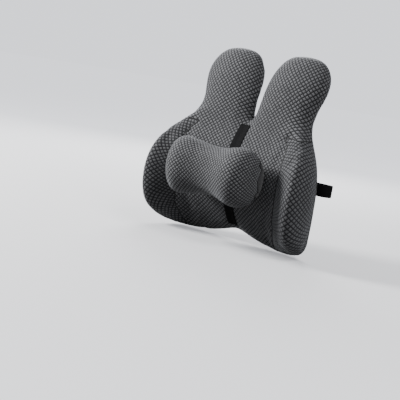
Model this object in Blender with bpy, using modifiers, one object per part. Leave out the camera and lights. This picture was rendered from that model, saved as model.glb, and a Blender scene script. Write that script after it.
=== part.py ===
"""Back-support cushion with a small lumbar pillow, both in fabric covers, and the
straps that hold them: an assembly of separate pieces.

Metres, +X to the sitter's left as seen from the front, -Y towards the sitter, +Z up.
The origin is on the flat back of the cushion, in the middle, where it leans on a chair.
"""

from collections import namedtuple
from math import cos, pi, radians, sin

import bmesh
import bpy
from mathutils import Matrix, Vector

MM = 0.001
MERGE = 0.0001
GAP = 0.3 * MM                      # clearance between pieces that touch

# ---- cushion -------------------------------------------------------------
ORIGIN_HEIGHT = 160 * MM            # origin above the lowest point of the wings
COVER_THICKNESS = 0.9 * MM
FOAM_CLEARANCE = 2.2 * MM           # outside of the cover to the foam
PANEL_INSET = 0.8 * MM              # each panel stops this far short of a seam
WEBBING_THICKNESS = 1.3 * MM
WEBBING_WIDTH = 25 * MM
SKIN_LIFT = 0.5 * MM                # webbing above the cover it lies on

# One cross-section of the right lobe, in millimetres. Depths are measured
# forward from the flat back. roundness 0 is a cupped wing, 1 a plain oval.
Station = namedtuple(
    "Station", "z inner outer front back seam_at seam ridge edge roundness"
)
LOBE = [
    Station(-2, 82, 168, 34, 8, 128, 50, 56, 38, 0.8),
    Station(10, 32, 190, 28, 0, 134, 66, 94, 66, 0.3),
    Station(34, -40, 203, 38, 0, 138, 78, 124, 80, 0.0),
    Station(75, -62, 205, 66, 0, 140, 86, 142, 90, 0.0),
    Station(125, -62, 206, 92, 0, 142, 92, 144, 92, 0.0),
    Station(170, -62, 200, 92, 0, 144, 90, 134, 86, 0.0),
    Station(210, -40, 182, 72, 0, 144, 84, 108, 70, 0.0),
    Station(240, -8, 158, 62, -2, 143, 68, 74, 50, 0.15),
    Station(270, 4, 147, 58, -7, 132, 56, 56, 40, 0.85),
    Station(305, 4, 150, 51, -19, 100, 60, 60, 40, 1.0),
    Station(345, 4, 165, 45, -36, 100, 54, 54, 30, 1.0),
    Station(385, 19, 153, 31, -43, 100, 42, 42, 20, 1.0),
    Station(412, 48, 121, 11, -35, 80, 24, 24, 10, 1.0),
]
# The angle at which each of the twelve columns of the cage stands on an oval.
OVAL_ANGLES = [150, 118, 90, 62, 35, 8, -22, -52, -84, -116, -148, 180]
SEAM_COLUMN = 2
EAR_START = 240                     # the side panels end here, in millimetres
BACK_COLUMN = 6
FRONT, SIDE, BACK = 0, 1, 2

# ---- pillow --------------------------------------------------------------
PILLOW_BACK = 98 * MM              # forward from the back of the cushion
PILLOW_CENTRE = -14 * MM            # height of its middle
# Half of the pillow from its waist to its end: x, height and thickness in mm.
PillowSection = namedtuple("PillowSection", "x height thickness")
PILLOW = [
    PillowSection(0, 116, 78),
    PillowSection(32, 120, 82),
    PillowSection(64, 140, 102),
    PillowSection(94, 130, 94),
    PillowSection(110, 80, 58),
]
PILLOW_COLUMNS = 10

# ---- strap down the middle, and the pillow's sleeve on it ------------------
TAUT_DEPTH = 95 * MM                # the strap runs flat here, behind the pillow
TAUT_HALF = 35 * MM                 # half the length of that flat run
STRAP_BOTTOM = -129 * MM            # its ends, in the two notches
STRAP_TOP = 88 * MM
SLEEVE_HALF_HEIGHT = 13 * MM
SLEEVE_INNER = 15 * MM              # half the width of the tunnel
SLEEVE_OUTER = 24 * MM              # half the width over its sewn edges
SLEEVE_FLOOR = 92.4 * MM            # forward depth of the wall behind the strap
SLEEVE_EDGE = 98.6 * MM             # forward depth of the edges sewn to the pillow

# ---- zip across the back ---------------------------------------------------
ZIP_HEIGHT = -70 * MM
ZIP_HALF = 84 * MM                  # half the length of the row of teeth
ZIP_OPENING = 3.4 * MM              # half the gap between the back panels
TOOTH_PITCH = 3 * MM
PULL_LENGTH = 24 * MM

# ---- strap round the chair -------------------------------------------------
STRAP_HEIGHT = -18 * MM             # middle of the webbing
STRAP_REACH = 176 * MM              # where the webbing starts to turn
STRAP_TURN = 16 * MM                # radius at the edge of the chair back
STRAP_START = 112 * MM
STRAP_FRONT = 2.9 * MM              # middle of the webbing where it leaves the cushion
MAIN_LAYER = STRAP_FRONT + 2 * STRAP_TURN
LAYER_STEP = 4 * MM                 # from the main layer to the doubled-back one
BUCKLE_MIDDLE = MAIN_LAYER + LAYER_STEP / 2
ANCHOR_INNER = 108 * MM
ANCHOR_OUTER = 150 * MM
TAIL_END = 135 * MM                 # free end of the webbing on the buckle's plug
TAIL_FOLD_END = 33 * MM             # its short end, sewn down beside the bar
LOOP_STITCH_END = 60 * MM           # where the left webbing is sewn back on itself
BAR_TURN = 22 * MM                  # middle of the webbing's turn round the plug's bar
SOCKET_TURN = 33 * MM               # the same, on the socket's side
ADJUSTER_X = 72 * MM
KEEPER_X = 112 * MM

COLOURS = {
    "foam": ((0.82, 0.79, 0.70), 0.95),
    "knit": ((0.075, 0.076, 0.08), 0.88),
    "mesh": ((0.035, 0.035, 0.038), 0.92),
    "webbing": ((0.016, 0.016, 0.018), 0.85),
    "plastic": ((0.02, 0.02, 0.022), 0.45),
    "metal": ((0.10, 0.10, 0.105), 0.4),
}


def clear_scene():
    for obj in list(bpy.data.objects):
        bpy.data.objects.remove(obj, do_unlink=True)


def make_collection(name):
    made = bpy.data.collections.new(name)
    bpy.context.scene.collection.children.link(made)
    return made


def make_material(name, finish):
    colour, roughness = COLOURS[finish]
    material = bpy.data.materials.new(name)
    material.use_nodes = True
    shader = material.node_tree.nodes["Principled BSDF"]
    shader.inputs["Base Color"].default_value = (*colour, 1.0)
    shader.inputs["Roughness"].default_value = roughness
    shader.inputs["Metallic"].default_value = 0.9 if finish == "metal" else 0.0
    return material


def add_object(name, mesh, finish, collection):
    mesh.name = name
    mesh.materials.clear()
    mesh.materials.append(make_material(name, finish))
    obj = bpy.data.objects.new(name, mesh)
    collection.objects.link(obj)
    return obj


def evaluated(obj):
    """The object's mesh with its modifiers applied, in flat triangles."""
    graph = bpy.context.evaluated_depsgraph_get()
    mesh = bpy.data.meshes.new_from_object(obj.evaluated_get(graph))
    work = bmesh.new()
    work.from_mesh(mesh)
    bmesh.ops.triangulate(work, faces=work.faces[:])
    work.to_mesh(mesh)
    work.free()
    return mesh


# ---- cushion surface -----------------------------------------------------
def wing_point(station, column):
    """One cage point of a cupped wing section: x and forward depth, in mm."""
    rim = station.outer - station.seam_at
    places = [
        (station.inner, station.front),
        (station.seam_at * 0.45, station.front),
        (station.seam_at, station.seam),
        (station.outer - rim * 0.4, station.ridge),
        (station.outer - rim * 0.05, station.ridge * 0.97),
        (station.outer, station.edge),
        (station.outer - rim * 0.05, station.edge * 0.42),
        (station.outer * 0.82, station.back),
        (station.outer * 0.5, station.back),
        (station.outer * 0.25, station.back),
        (station.inner, station.back),
        (station.inner, (station.front + station.back) / 2),
    ]
    return places[column]


def oval_point(station, column):
    """One cage point of a plain oval section."""
    angle = radians(OVAL_ANGLES[column])
    half_width = (station.outer - station.inner) / 2
    half_depth = (station.front - station.back) / 2
    x = station.inner + half_width * (1 + cos(angle))
    depth = station.back + half_depth * (1 + sin(angle))
    return x, depth


def lobe_ring(station):
    points = []
    for column in range(len(OVAL_ANGLES)):
        wing = Vector(wing_point(station, column))
        oval = Vector(oval_point(station, column))
        x, depth = wing.lerp(oval, station.roundness)
        points.append(Vector((x * MM, -depth * MM, station.z * MM - ORIGIN_HEIGHT)))
    return points


def panel_of(column):
    """Which cover panel the faces after a cage column belong to."""
    if SEAM_COLUMN <= column < BACK_COLUMN:
        return SIDE
    if BACK_COLUMN <= column < len(OVAL_ANGLES) - 2:
        return BACK
    return FRONT


def cushion_surface(guides):
    """The outside of the covered cushion, with a panel number on each face."""
    cage = bmesh.new()
    rings = [[cage.verts.new(point) for point in lobe_ring(station)] for station in LOBE]
    count = len(OVAL_ANGLES)
    for index, (low, high) in enumerate(zip(rings, rings[1:])):
        for column in range(count):
            after = (column + 1) % count
            face = cage.faces.new((low[column], low[after], high[after], high[column]))
            ear = LOBE[index].z >= EAR_START
            panel = panel_of(column)
            face.material_index = FRONT if ear and panel == SIDE else panel
    for ring, turned in ((rings[0], True), (rings[-1], False)):
        face = cage.faces.new(tuple(reversed(ring)) if turned else tuple(ring))
        face.material_index = FRONT
    bmesh.ops.recalc_face_normals(cage, faces=cage.faces)
    mesh = bpy.data.meshes.new("cushion_cage")
    cage.to_mesh(mesh)
    cage.free()
    for panel in ("front", "side", "back"):
        mesh.materials.append(bpy.data.materials.new(panel))
    obj = bpy.data.objects.new("cushion_cage", mesh)
    guides.objects.link(obj)
    obj.hide_render = True
    obj.display_type = "WIRE"
    smooth = obj.modifiers.new("smooth", "SUBSURF")
    smooth.levels = 1
    smooth.render_levels = 1
    mirror = obj.modifiers.new("mirror", "MIRROR")
    mirror.use_axis[0] = True
    mirror.use_bisect_axis[0] = True
    mirror.merge_threshold = MERGE
    return evaluated(obj)


# ---- pillow surface ------------------------------------------------------
def pillow_ring(section):
    """A rounded section across the pillow, flatter on the back."""
    points = []
    for column in range(PILLOW_COLUMNS):
        angle = 2 * pi * column / PILLOW_COLUMNS
        height = section.height / 2 * MM * sin(angle)
        depth = PILLOW_BACK + section.thickness / 2 * MM * (1 + cos(angle))
        points.append(Vector((section.x * MM, -depth, PILLOW_CENTRE + height)))
    return points


def pillow_surface(guides):
    """The outside of the covered pillow."""
    cage = bmesh.new()
    rings = [[cage.verts.new(p) for p in pillow_ring(section)] for section in PILLOW]
    for near, far in zip(rings, rings[1:]):
        for column in range(PILLOW_COLUMNS):
            after = (column + 1) % PILLOW_COLUMNS
            cage.faces.new((near[column], near[after], far[after], far[column]))
    cage.faces.new(rings[-1])
    bmesh.ops.recalc_face_normals(cage, faces=cage.faces)
    mesh = bpy.data.meshes.new("pillow_cage")
    cage.to_mesh(mesh)
    cage.free()
    obj = bpy.data.objects.new("pillow_cage", mesh)
    guides.objects.link(obj)
    obj.hide_render = True
    obj.display_type = "WIRE"
    mirror = obj.modifiers.new("mirror", "MIRROR")
    mirror.use_axis[0] = True
    mirror.merge_threshold = MERGE
    smooth = obj.modifiers.new("smooth", "SUBSURF")
    smooth.levels = 1
    smooth.render_levels = 1
    return evaluated(obj)


# ---- shells cut from a surface -------------------------------------------
def keep_faces(mesh, wanted):
    """A bmesh with only the faces that the test wants."""
    work = bmesh.new()
    work.from_mesh(mesh)
    unwanted = [face for face in work.faces if not wanted(face)]
    bmesh.ops.delete(work, geom=unwanted, context="FACES")
    return work


def cut_away(work, point, outward):
    """Removes everything beyond the plane, on the side that outward points to."""
    geometry = work.verts[:] + work.edges[:] + work.faces[:]
    bmesh.ops.bisect_plane(
        work, geom=geometry, plane_co=point, plane_no=outward, clear_outer=True
    )


def trim_rim(work, width):
    """Pulls an open patch's edge in, so that it stops short of its seam."""
    rim = bmesh.ops.inset_region(
        work, faces=work.faces[:], thickness=width, use_boundary=True, depth=0.0
    )
    bmesh.ops.delete(work, geom=rim["faces"], context="FACES")


def solid_from_patch(name, work, thickness, offset, finish, collection):
    """Closes an open patch with Solidify: offset -1 is inward, 1 is outward."""
    for face in work.faces:
        face.material_index = 0
        face.smooth = True
    mesh = bpy.data.meshes.new(name)
    work.to_mesh(mesh)
    work.free()
    obj = add_object(name, mesh, finish, collection)
    wall = obj.modifiers.new("wall", "SOLIDIFY")
    wall.thickness = thickness
    wall.offset = offset
    return obj


def lifted(mesh, distance):
    """A copy of a closed surface, moved along its normals."""
    moved = mesh.copy()
    normals = [vertex.normal.copy() for vertex in mesh.vertices]
    for vertex, normal in zip(moved.vertices, normals):
        vertex.co += normal * distance
    return moved


def add_foam(name, surface, collection):
    mesh = lifted(surface, -FOAM_CLEARANCE)
    for face in mesh.polygons:
        face.material_index = 0
        face.use_smooth = True
    return add_object(name, mesh, "foam", collection)


# ---- cushion -------------------------------------------------------------
def add_cushion_panels(surface, collection):
    tests = {
        "front_panel": lambda face: face.material_index == FRONT,
        "side_panel_left": lambda face: face.material_index == SIDE
        and face.calc_center_median().x < 0,
        "side_panel_right": lambda face: face.material_index == SIDE
        and face.calc_center_median().x > 0,
    }
    for name, wanted in tests.items():
        work = keep_faces(surface, wanted)
        trim_rim(work, PANEL_INSET)
        solid_from_patch(name, work, COVER_THICKNESS, -1, "knit", collection)
    for name, side in (("back_panel_upper", 1), ("back_panel_lower", -1)):
        work = keep_faces(surface, lambda face: face.material_index == BACK)
        edge = ZIP_HEIGHT + side * ZIP_OPENING
        cut_away(work, (0, 0, edge), (0, 0, -side))
        trim_rim(work, PANEL_INSET)
        solid_from_patch(name, work, COVER_THICKNESS, -1, "mesh", collection)


def taut_depth(z):
    """How far forward the taut strap must stand at a height."""
    beyond = max(0.0, abs(z - PILLOW_CENTRE) - TAUT_HALF)
    return TAUT_DEPTH - beyond


def add_spine_strap(surface, collection):
    """Webbing over the front, from the bottom notch to the notch between the ears."""
    work = bmesh.new()
    work.from_mesh(lifted(surface, SKIN_LIFT))
    half = WEBBING_WIDTH / 2
    cut_away(work, (half, 0, 0), (1, 0, 0))
    cut_away(work, (-half, 0, 0), (-1, 0, 0))
    cut_away(work, (0, -30 * MM, 0), (0, 1, 0))
    cut_away(work, (0, 0, STRAP_BOTTOM), (0, 0, -1))
    cut_away(work, (0, 0, STRAP_TOP), (0, 0, 1))
    for side in (-1, 1):
        level = PILLOW_CENTRE + side * TAUT_HALF
        geometry = work.verts[:] + work.edges[:] + work.faces[:]
        bmesh.ops.bisect_plane(
            work, geom=geometry, plane_co=(0, 0, level), plane_no=(0, 0, 1)
        )
    for vertex in work.verts:
        vertex.co.y = min(vertex.co.y, -taut_depth(vertex.co.z))
    solid_from_patch("spine_strap", work, WEBBING_THICKNESS, 1, "webbing", collection)


def add_anchor_patches(surface, collection):
    """Webbing patches sewn flat on the back, where the chair strap starts."""
    half = WEBBING_WIDTH / 2
    for name, side in (("anchor_patch_left", -1), ("anchor_patch_right", 1)):
        work = keep_faces(lifted(surface, SKIN_LIFT), lambda f: f.material_index == BACK)
        cut_away(work, (side * ANCHOR_OUTER, 0, 0), (side, 0, 0))
        cut_away(work, (side * ANCHOR_INNER, 0, 0), (-side, 0, 0))
        cut_away(work, (0, 0, STRAP_HEIGHT + half), (0, 0, 1))
        cut_away(work, (0, 0, STRAP_HEIGHT - half), (0, 0, -1))
        solid_from_patch(name, work, WEBBING_THICKNESS, 1, "webbing", collection)


# ---- flat pieces ---------------------------------------------------------
def strip_along(name, path, low, high, thickness, finish, collection):
    """A band whose edge follows path in plan, standing from low to high."""
    work = bmesh.new()
    bottom = [work.verts.new((x, y, low)) for x, y in path]
    top = [work.verts.new((x, y, high)) for x, y in path]
    for index in range(len(path) - 1):
        corners = (bottom[index], bottom[index + 1], top[index + 1], top[index])
        work.faces.new(corners)
    return solid_from_patch(name, work, thickness, 0, finish, collection)


def box_object(name, low, high, finish, collection):
    """A box between two corners."""
    low = Vector(low)
    high = Vector(high)
    work = bmesh.new()
    size = high - low
    place = Matrix.Translation((low + high) / 2) @ Matrix.Diagonal((*size, 1.0))
    bmesh.ops.create_cube(work, size=1.0, matrix=place)
    mesh = bpy.data.meshes.new(name)
    work.to_mesh(mesh)
    work.free()
    return add_object(name, mesh, finish, collection)


def round_edges(obj, width, segments=2):
    bevel = obj.modifiers.new("edges", "BEVEL")
    bevel.width = width
    bevel.segments = segments
    bevel.limit_method = "ANGLE"
    bevel.angle_limit = radians(40)


def combine(obj, other, operation, cutters):
    """Adds a Boolean with another box, which then stays hidden."""
    for owner in list(other.users_collection):
        owner.objects.unlink(other)
    cutters.objects.link(other)
    other.hide_render = True
    other.display_type = "WIRE"
    step = obj.modifiers.new(other.name, "BOOLEAN")
    step.operation = operation
    step.object = other
    step.solver = "EXACT"


def arc(centre, radius, start, end, steps):
    """Points on an arc in plan, from one angle to another, in degrees."""
    points = []
    for step in range(steps + 1):
        angle = radians(start + (end - start) * step / steps)
        points.append((centre[0] + radius * cos(angle), centre[1] + radius * sin(angle)))
    return points


def place_origin(obj, point):
    """Moves an object's origin to a point without moving its shape."""
    point = Vector(point)
    obj.data.transform(Matrix.Translation(-point))
    obj.location = point


# ---- zip -----------------------------------------------------------------
def add_zip(collection, cutters):
    inner = 1.4 * MM
    tape = 0.6 * MM
    depth = -0.9 * MM
    for name, side in (("zip_tape_upper", 1), ("zip_tape_lower", -1)):
        edges = sorted((ZIP_HEIGHT + side * inner, ZIP_HEIGHT + side * ZIP_OPENING))
        low = (-ZIP_HALF, depth, edges[0])
        high = (ZIP_HALF, depth + tape, edges[1])
        box_object(name, low, high, "webbing", collection)
    add_zip_teeth(collection)
    for name, side in (("zip_stop_left", -1), ("zip_stop_right", 1)):
        near = ZIP_HALF + GAP
        far = ZIP_HALF + 3 * MM
        xs = sorted((side * near, side * far))
        low = (xs[0], -0.9 * MM, ZIP_HEIGHT - 2.6 * MM)
        high = (xs[1], 0.7 * MM, ZIP_HEIGHT + 2.6 * MM)
        stop = box_object(name, low, high, "metal", collection)
        round_edges(stop, 0.4 * MM, 1)
    add_zip_slider(collection, cutters)


def add_zip_teeth(collection):
    """The closed row of teeth: one strip with a toothed edge on both sides."""
    work = bmesh.new()
    count = int(2 * ZIP_HALF / TOOTH_PITCH)
    upper = []
    lower = []
    for index in range(count):
        start = -ZIP_HALF + index * TOOTH_PITCH
        for share, height in ((0.0, 0.75), (0.15, 1.1), (0.55, 1.1), (0.7, 0.75)):
            x = start + share * TOOTH_PITCH
            upper.append((x, height * MM))
            lower.append((x + 0.3 * TOOTH_PITCH, -height * MM))
    outline = upper + list(reversed(lower))
    verts = [work.verts.new((x, -0.95 * MM, ZIP_HEIGHT + z)) for x, z in outline]
    face = work.faces.new(verts)
    grown = bmesh.ops.extrude_face_region(work, geom=[face])
    moved = [item for item in grown["geom"] if isinstance(item, bmesh.types.BMVert)]
    bmesh.ops.translate(work, verts=moved, vec=(0, 1.15 * MM, 0))
    bmesh.ops.recalc_face_normals(work, faces=work.faces)
    mesh = bpy.data.meshes.new("zip_teeth")
    work.to_mesh(mesh)
    work.free()
    return add_object("zip_teeth", mesh, "webbing", collection)


def add_zip_slider(collection, cutters):
    """The slider's outer half, parked at the closed end, and its pull."""
    home = ZIP_HALF - 8 * MM
    face = 0.5 * MM
    slider = box_object(
        "zip_slider",
        (home - 5 * MM, face, ZIP_HEIGHT - 3.6 * MM),
        (home + 5 * MM, face + 1.6 * MM, ZIP_HEIGHT + 3.6 * MM),
        "metal",
        collection,
    )
    bridge = box_object(
        "slider_bridge",
        (home - 1 * MM, face + 1 * MM, ZIP_HEIGHT - 3.5 * MM),
        (home + 1 * MM, face + 4.6 * MM, ZIP_HEIGHT + 3.5 * MM),
        "metal",
        collection,
    )
    combine(slider, bridge, "UNION", cutters)
    eye = box_object(
        "slider_eye",
        (home - 2 * MM, face + 1.6 * MM, ZIP_HEIGHT - 2.3 * MM),
        (home + 2 * MM, face + 3.6 * MM, ZIP_HEIGHT + 2.3 * MM),
        "metal",
        collection,
    )
    combine(slider, eye, "DIFFERENCE", cutters)
    place_origin(slider, (home, face, ZIP_HEIGHT))
    pin = Vector((home, face + 2.6 * MM, ZIP_HEIGHT))
    pull = box_object(
        "zip_pull",
        pin + Vector((-2.7 * MM, -0.6 * MM, -PULL_LENGTH)),
        pin + Vector((2.7 * MM, 0.6 * MM, 0.6 * MM)),
        "metal",
        collection,
    )
    pull_eye = box_object(
        "pull_eye",
        pin + Vector((-1.35 * MM, -2 * MM, -5.4 * MM)),
        pin + Vector((1.35 * MM, 2 * MM, -0.6 * MM)),
        "metal",
        collection,
    )
    combine(pull, pull_eye, "DIFFERENCE", cutters)
    place_origin(pull, pin)


# ---- pillow --------------------------------------------------------------
def add_pillow(guides, collection):
    surface = pillow_surface(guides)
    add_foam("pillow_foam", surface, collection)
    seam = -(PILLOW_BACK + 26 * MM)
    for name, side in (("pillow_cover_front", 1), ("pillow_cover_back", -1)):
        work = bmesh.new()
        work.from_mesh(surface)
        cut_away(work, (0, seam, 0), (0, side, 0))
        trim_rim(work, PANEL_INSET)
        finish = "knit" if side > 0 else "mesh"
        solid_from_patch(name, work, COVER_THICKNESS, -1, finish, collection)
    path = [
        (-SLEEVE_OUTER, -SLEEVE_EDGE),
        (-SLEEVE_INNER - 1 * MM, -SLEEVE_EDGE),
        (-SLEEVE_INNER, -SLEEVE_FLOOR),
        (SLEEVE_INNER, -SLEEVE_FLOOR),
        (SLEEVE_INNER + 1 * MM, -SLEEVE_EDGE),
        (SLEEVE_OUTER, -SLEEVE_EDGE),
    ]
    low = PILLOW_CENTRE - SLEEVE_HALF_HEIGHT
    high = PILLOW_CENTRE + SLEEVE_HALF_HEIGHT
    strip_along("pillow_sleeve", path, low, high, 1.0 * MM, "webbing", collection)


# ---- chair strap ---------------------------------------------------------
def path_round_chair():
    """Plan of the right half: along the cushion's back, then round the chair."""
    turn_centre = (STRAP_REACH, STRAP_FRONT + STRAP_TURN)
    path = [(STRAP_START, STRAP_FRONT), (STRAP_REACH - 20 * MM, STRAP_FRONT)]
    return path + arc(turn_centre, STRAP_TURN, -90, 90, 12)


def path_round_bar(bar_turn):
    """Plan of the fold round a buckle's bar, from the main layer to the outer one."""
    middle = (bar_turn, MAIN_LAYER + LAYER_STEP / 2)
    return arc(middle, LAYER_STEP / 2, 270, 90, 8)


def add_chair_straps(collection):
    low = STRAP_HEIGHT - WEBBING_WIDTH / 2
    high = STRAP_HEIGHT + WEBBING_WIDTH / 2
    outer = MAIN_LAYER + LAYER_STEP
    right = path_round_chair() + [(ADJUSTER_X - 8 * MM, MAIN_LAYER)]
    left = path_round_chair() + path_round_bar(SOCKET_TURN) + [(LOOP_STITCH_END, outer)]
    left = [(-x, y) for x, y in reversed(left)]
    tail = [(TAIL_FOLD_END, MAIN_LAYER)] + path_round_bar(BAR_TURN) + [(TAIL_END, outer)]
    paths = {"chair_strap_right": right, "chair_strap_left": left, "strap_tail": tail}
    for name, path in paths.items():
        strip_along(name, path, low, high, WEBBING_THICKNESS, "webbing", collection)


def buckle_box(name, x_low, x_high, half_depth, z_low, z_high, collection):
    """A box in the buckle, centred on its middle plane."""
    low = (x_low * MM, BUCKLE_MIDDLE - half_depth * MM, STRAP_HEIGHT + z_low * MM)
    high = (x_high * MM, BUCKLE_MIDDLE + half_depth * MM, STRAP_HEIGHT + z_high * MM)
    return box_object(name, low, high, "plastic", collection)


def add_buckle(collection, cutters):
    socket = buckle_box("buckle_socket", -36, 3, 5, -17, 17, collection)
    round_edges(socket, 1.5 * MM)
    hollows = {
        "socket_cavity": (-22, 6, 2.9, -12.4, 12.4),
        "socket_windows": (-14, 6, 2.9, -20, 20),
        "socket_slot": (-32.6, -27, 8, -13.4, 13.4),
    }
    for name, limits in hollows.items():
        combine(socket, buckle_box(name, *limits, collection), "DIFFERENCE", cutters)
    for name, side in (("socket_thin_front", -1), ("socket_thin_rear", 1)):
        thin = buckle_box(name, -40, -30, 4.5, -13.4, 13.4, collection)
        thin.data.transform(Matrix.Translation((0, side * 5.5 * MM, 0)))
        combine(socket, thin, "DIFFERENCE", cutters)
    plug = buckle_box("buckle_plug", 3.4, 24.4, 4.2, -17, 17, collection)
    round_edges(plug, 1.2 * MM)
    tongue = buckle_box("plug_tongue", -18, 8, 2, -3, 3, collection)
    combine(plug, tongue, "UNION", cutters)
    slot = buckle_box("plug_slot", 15, 21.6, 8, -13.4, 13.4, collection)
    combine(plug, slot, "DIFFERENCE", cutters)
    for name, side in (("plug_thin_front", -1), ("plug_thin_rear", 1)):
        thin = buckle_box(name, 19, 28, 4.5, -13.4, 13.4, collection)
        thin.data.transform(Matrix.Translation((0, side * 5.5 * MM, 0)))
        combine(plug, thin, "DIFFERENCE", cutters)
    for name, side in (("buckle_prong_upper", 1), ("buckle_prong_lower", -1)):
        add_prong(name, side, collection, cutters)


def add_prong(name, side, collection, cutters):
    """A springy arm of the plug, with the button that the fingers squeeze."""
    arm = buckle_box(name, -17, 3.1, 2.2, *sorted((side * 7.6, side * 10.2)), collection)
    button = buckle_box(
        name + "_button", -13, -4, 2.2, *sorted((side * 9.4, side * 15.6)), collection
    )
    combine(arm, button, "UNION", cutters)
    root = (3.1 * MM, BUCKLE_MIDDLE, STRAP_HEIGHT + side * 8.9 * MM)
    place_origin(arm, root)


def frame_round_layers(name, middle, half_length, finish, collection):
    """A closed frame round both layers of webbing, with room to slide."""
    outer = 3.0 * MM + LAYER_STEP / 2
    inner = 1.2 * MM + LAYER_STEP / 2
    height = WEBBING_WIDTH / 2 + 1 * MM
    wall = 2 * MM
    body = box_object(
        name,
        (middle - half_length, BUCKLE_MIDDLE - outer, STRAP_HEIGHT - height - wall),
        (middle + half_length, BUCKLE_MIDDLE + outer, STRAP_HEIGHT + height + wall),
        finish,
        collection,
    )
    hole = box_object(
        name + "_hole",
        (middle - 2 * half_length, BUCKLE_MIDDLE - inner, STRAP_HEIGHT - height),
        (middle + 2 * half_length, BUCKLE_MIDDLE + inner, STRAP_HEIGHT + height),
        finish,
        collection,
    )
    return body, hole


def add_adjuster(collection, cutters):
    """A slide lock: a frame with a bar between the two layers."""
    body, hole = frame_round_layers(
        "strap_adjuster", ADJUSTER_X, 9 * MM, "plastic", collection
    )
    round_edges(body, 1 * MM)
    combine(body, hole, "DIFFERENCE", cutters)
    for name, side in (("adjuster_gap_near", -1), ("adjuster_gap_far", 1)):
        low_y = BUCKLE_MIDDLE - 12 * MM
        high_y = BUCKLE_MIDDLE + 12 * MM
        xs = sorted((ADJUSTER_X + side * 1.6 * MM, ADJUSTER_X + side * 6.2 * MM))
        height = WEBBING_WIDTH / 2 + 1 * MM
        gap = box_object(
            name,
            (xs[0], low_y, STRAP_HEIGHT - height),
            (xs[1], high_y, STRAP_HEIGHT + height),
            "plastic",
            collection,
        )
        combine(body, gap, "DIFFERENCE", cutters)
    bar = box_object(
        "adjuster_bar",
        (ADJUSTER_X - 1.5 * MM, BUCKLE_MIDDLE - 0.8 * MM, STRAP_HEIGHT - 15 * MM),
        (ADJUSTER_X + 1.5 * MM, BUCKLE_MIDDLE + 0.8 * MM, STRAP_HEIGHT + 15 * MM),
        "plastic",
        collection,
    )
    combine(body, bar, "UNION", cutters)
    place_origin(body, (ADJUSTER_X, BUCKLE_MIDDLE, STRAP_HEIGHT))


def add_keeper(collection, cutters):
    """An elastic loop that holds the free end down."""
    body, hole = frame_round_layers(
        "strap_keeper", KEEPER_X, 5 * MM, "webbing", collection
    )
    combine(body, hole, "DIFFERENCE", cutters)
    place_origin(body, (KEEPER_X, BUCKLE_MIDDLE, STRAP_HEIGHT))


def main():
    clear_scene()
    parts = make_collection("back_support")
    cutters = make_collection("cutters")
    surface = cushion_surface(cutters)
    add_foam("foam_core", surface, parts)
    add_cushion_panels(surface, parts)
    add_spine_strap(surface, parts)
    add_anchor_patches(surface, parts)
    add_zip(parts, cutters)
    add_pillow(cutters, parts)
    add_chair_straps(parts)
    add_buckle(parts, cutters)
    add_adjuster(parts, cutters)
    add_keeper(parts, cutters)


main()
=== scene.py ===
"""Looks of a strap-on back support cushion with a lumbar pillow.

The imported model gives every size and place. This script dresses it: the foam gets
padded covers with seams, the straps become woven webbing, and the small hardware
gets its finishes. Metres, +X to the right as seen from the front, -Y towards the
sitter, +Z up.
"""

import logging
from dataclasses import dataclass, field
from enum import Enum
from math import atan2, cos, exp, pi, radians, sin

import bmesh
import bpy
import numpy as np
from mathutils import Matrix, Vector, noise
from mathutils.bvhtree import BVHTree
from mathutils.kdtree import KDTree


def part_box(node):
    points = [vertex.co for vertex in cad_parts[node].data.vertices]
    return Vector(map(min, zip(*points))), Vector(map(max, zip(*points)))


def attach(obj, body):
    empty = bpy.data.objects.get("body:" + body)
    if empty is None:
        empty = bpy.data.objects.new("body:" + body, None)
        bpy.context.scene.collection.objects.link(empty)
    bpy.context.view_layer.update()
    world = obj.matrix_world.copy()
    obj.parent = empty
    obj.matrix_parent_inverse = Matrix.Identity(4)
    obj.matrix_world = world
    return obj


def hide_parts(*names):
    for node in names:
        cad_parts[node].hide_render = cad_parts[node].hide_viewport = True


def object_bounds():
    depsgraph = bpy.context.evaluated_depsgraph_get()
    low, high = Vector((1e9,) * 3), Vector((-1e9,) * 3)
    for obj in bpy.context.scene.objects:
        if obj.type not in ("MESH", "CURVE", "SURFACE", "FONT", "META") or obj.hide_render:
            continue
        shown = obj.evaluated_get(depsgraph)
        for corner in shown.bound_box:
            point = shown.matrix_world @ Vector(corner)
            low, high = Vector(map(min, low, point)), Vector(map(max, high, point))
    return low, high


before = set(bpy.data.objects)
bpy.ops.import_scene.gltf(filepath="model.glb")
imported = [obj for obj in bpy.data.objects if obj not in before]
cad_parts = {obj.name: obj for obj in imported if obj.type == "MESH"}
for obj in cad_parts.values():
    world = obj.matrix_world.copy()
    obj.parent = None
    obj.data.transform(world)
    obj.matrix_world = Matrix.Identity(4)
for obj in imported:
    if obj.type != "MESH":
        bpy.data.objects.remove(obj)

CAD_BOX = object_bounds()
LOG = logging.getLogger("back_support")
Colour = tuple[float, float, float]

# Lattice cells, in metres.
CELL = 0.0095
PILLOW_CELL = 0.0078
SIDE_CELL = 0.0112
SIDE_CELL_FAR = 0.0143

# The solve that lays the lattice square to the front.
SOLVE_STEPS = 2500
SOLVE_GOAL = 1e-9

# The studio: the backdrop is brighter to the camera than to the object.
SKY = (0.92, 0.94, 1.0, 1.0)
SKY_ON_OBJECT = 0.27
SKY_EXTRA_SEEN = 1.20
FLOOR_DROP = 0.004
FLOOR_SEEN = (0.78, 0.78, 0.79, 1.0)
FLOOR_ON_OBJECT = (0.2, 0.2, 0.2, 1.0)


class Cloth(Enum):
    """The kinds of cloth that the covers are cut from."""

    DIAMOND_FRONT = "diamond_front"
    DIAMOND_SIDE = "diamond_side"
    PLAIN_BACK = "plain_back"


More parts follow.
